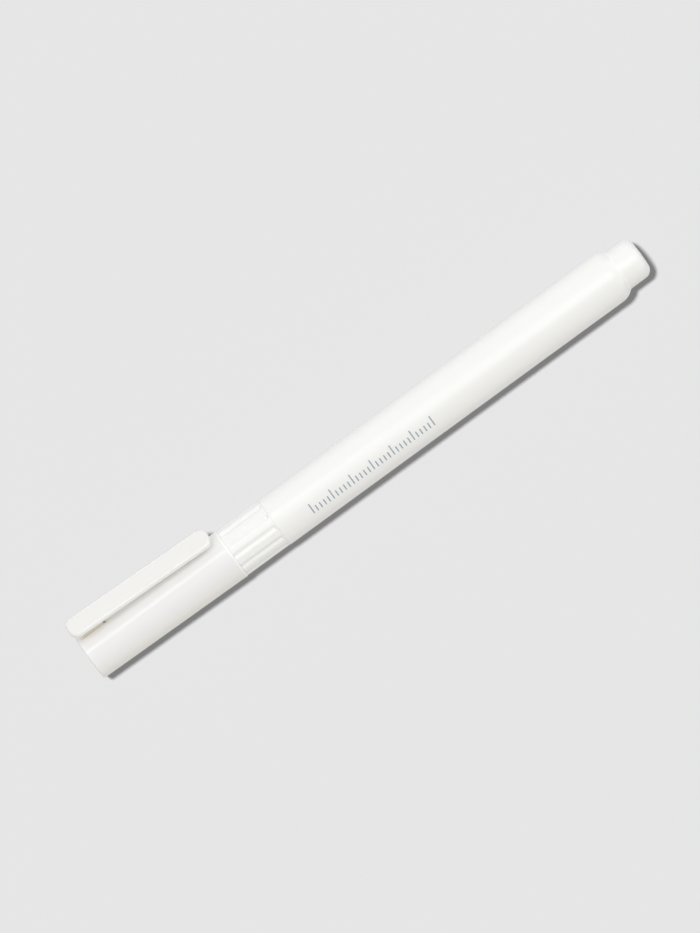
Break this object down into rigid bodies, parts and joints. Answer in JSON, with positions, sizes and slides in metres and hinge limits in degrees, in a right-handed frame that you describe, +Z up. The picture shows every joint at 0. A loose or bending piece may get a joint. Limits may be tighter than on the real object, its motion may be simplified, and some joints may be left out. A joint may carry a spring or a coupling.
{
  "type": "capped fineliner pen",
  "caption": "Slim white fineliner pen with a pull-off clip cap, grip grooves on the barrel, a rounded tail plug and a fine nib.",
  "frame": {"origin": "centre of the cap's closed end face", "axes": "+X along the pen from the cap's closed end to the tail, +Z up as the pen lies in the picture, clip on the +Y side"},
  "size_m": [0.1383, 0.0145, 0.0135],
  "materials": {
    "cap_white": "smooth moulded white plastic",
    "inner_cap_milky": "soft milky plastic",
    "clip_white": "satin moulded white plastic",
    "barrel_white": "smooth moulded white plastic",
    "tail_white": "smooth moulded white plastic",
    "section_white": "satin white plastic",
    "sleeve_steel": "drawn steel",
    "nib_dark": "ink-wet plastic fibre",
    "fibre_ink": "ink-soaked fibre",
    "film_clear": "thin plastic film"
  },
  "bodies": {
    "barrel": {"barrel": "barrel_white", "tail_plug": "tail_white", "front_section": "section_white", "nib_sleeve": "sleeve_steel", "nib": "nib_dark", "ink_reservoir": "fibre_ink", "reservoir_film": "film_clear"},
    "cap": {"cap_shell": "cap_white", "inner_cap": "inner_cap_milky", "clip_foot": "clip_white"},
    "clip": {"clip_arm": "clip_white"}
  },
  "joints": [
    {"name": "cap_slide", "type": "slide", "parent": "barrel", "child": "cap", "axis": [-1, 0, 0], "range_m": [0, 0.04]},
    {"name": "clip_flex", "type": "hinge", "parent": "cap", "child": "clip", "pos_m": [0.008, 0.00647, 0.00506], "axis": [0, -0.6157, 0.788], "range_deg": [0, 6], "stiffness_Nm_per_rad": 0.6}
  ]
}
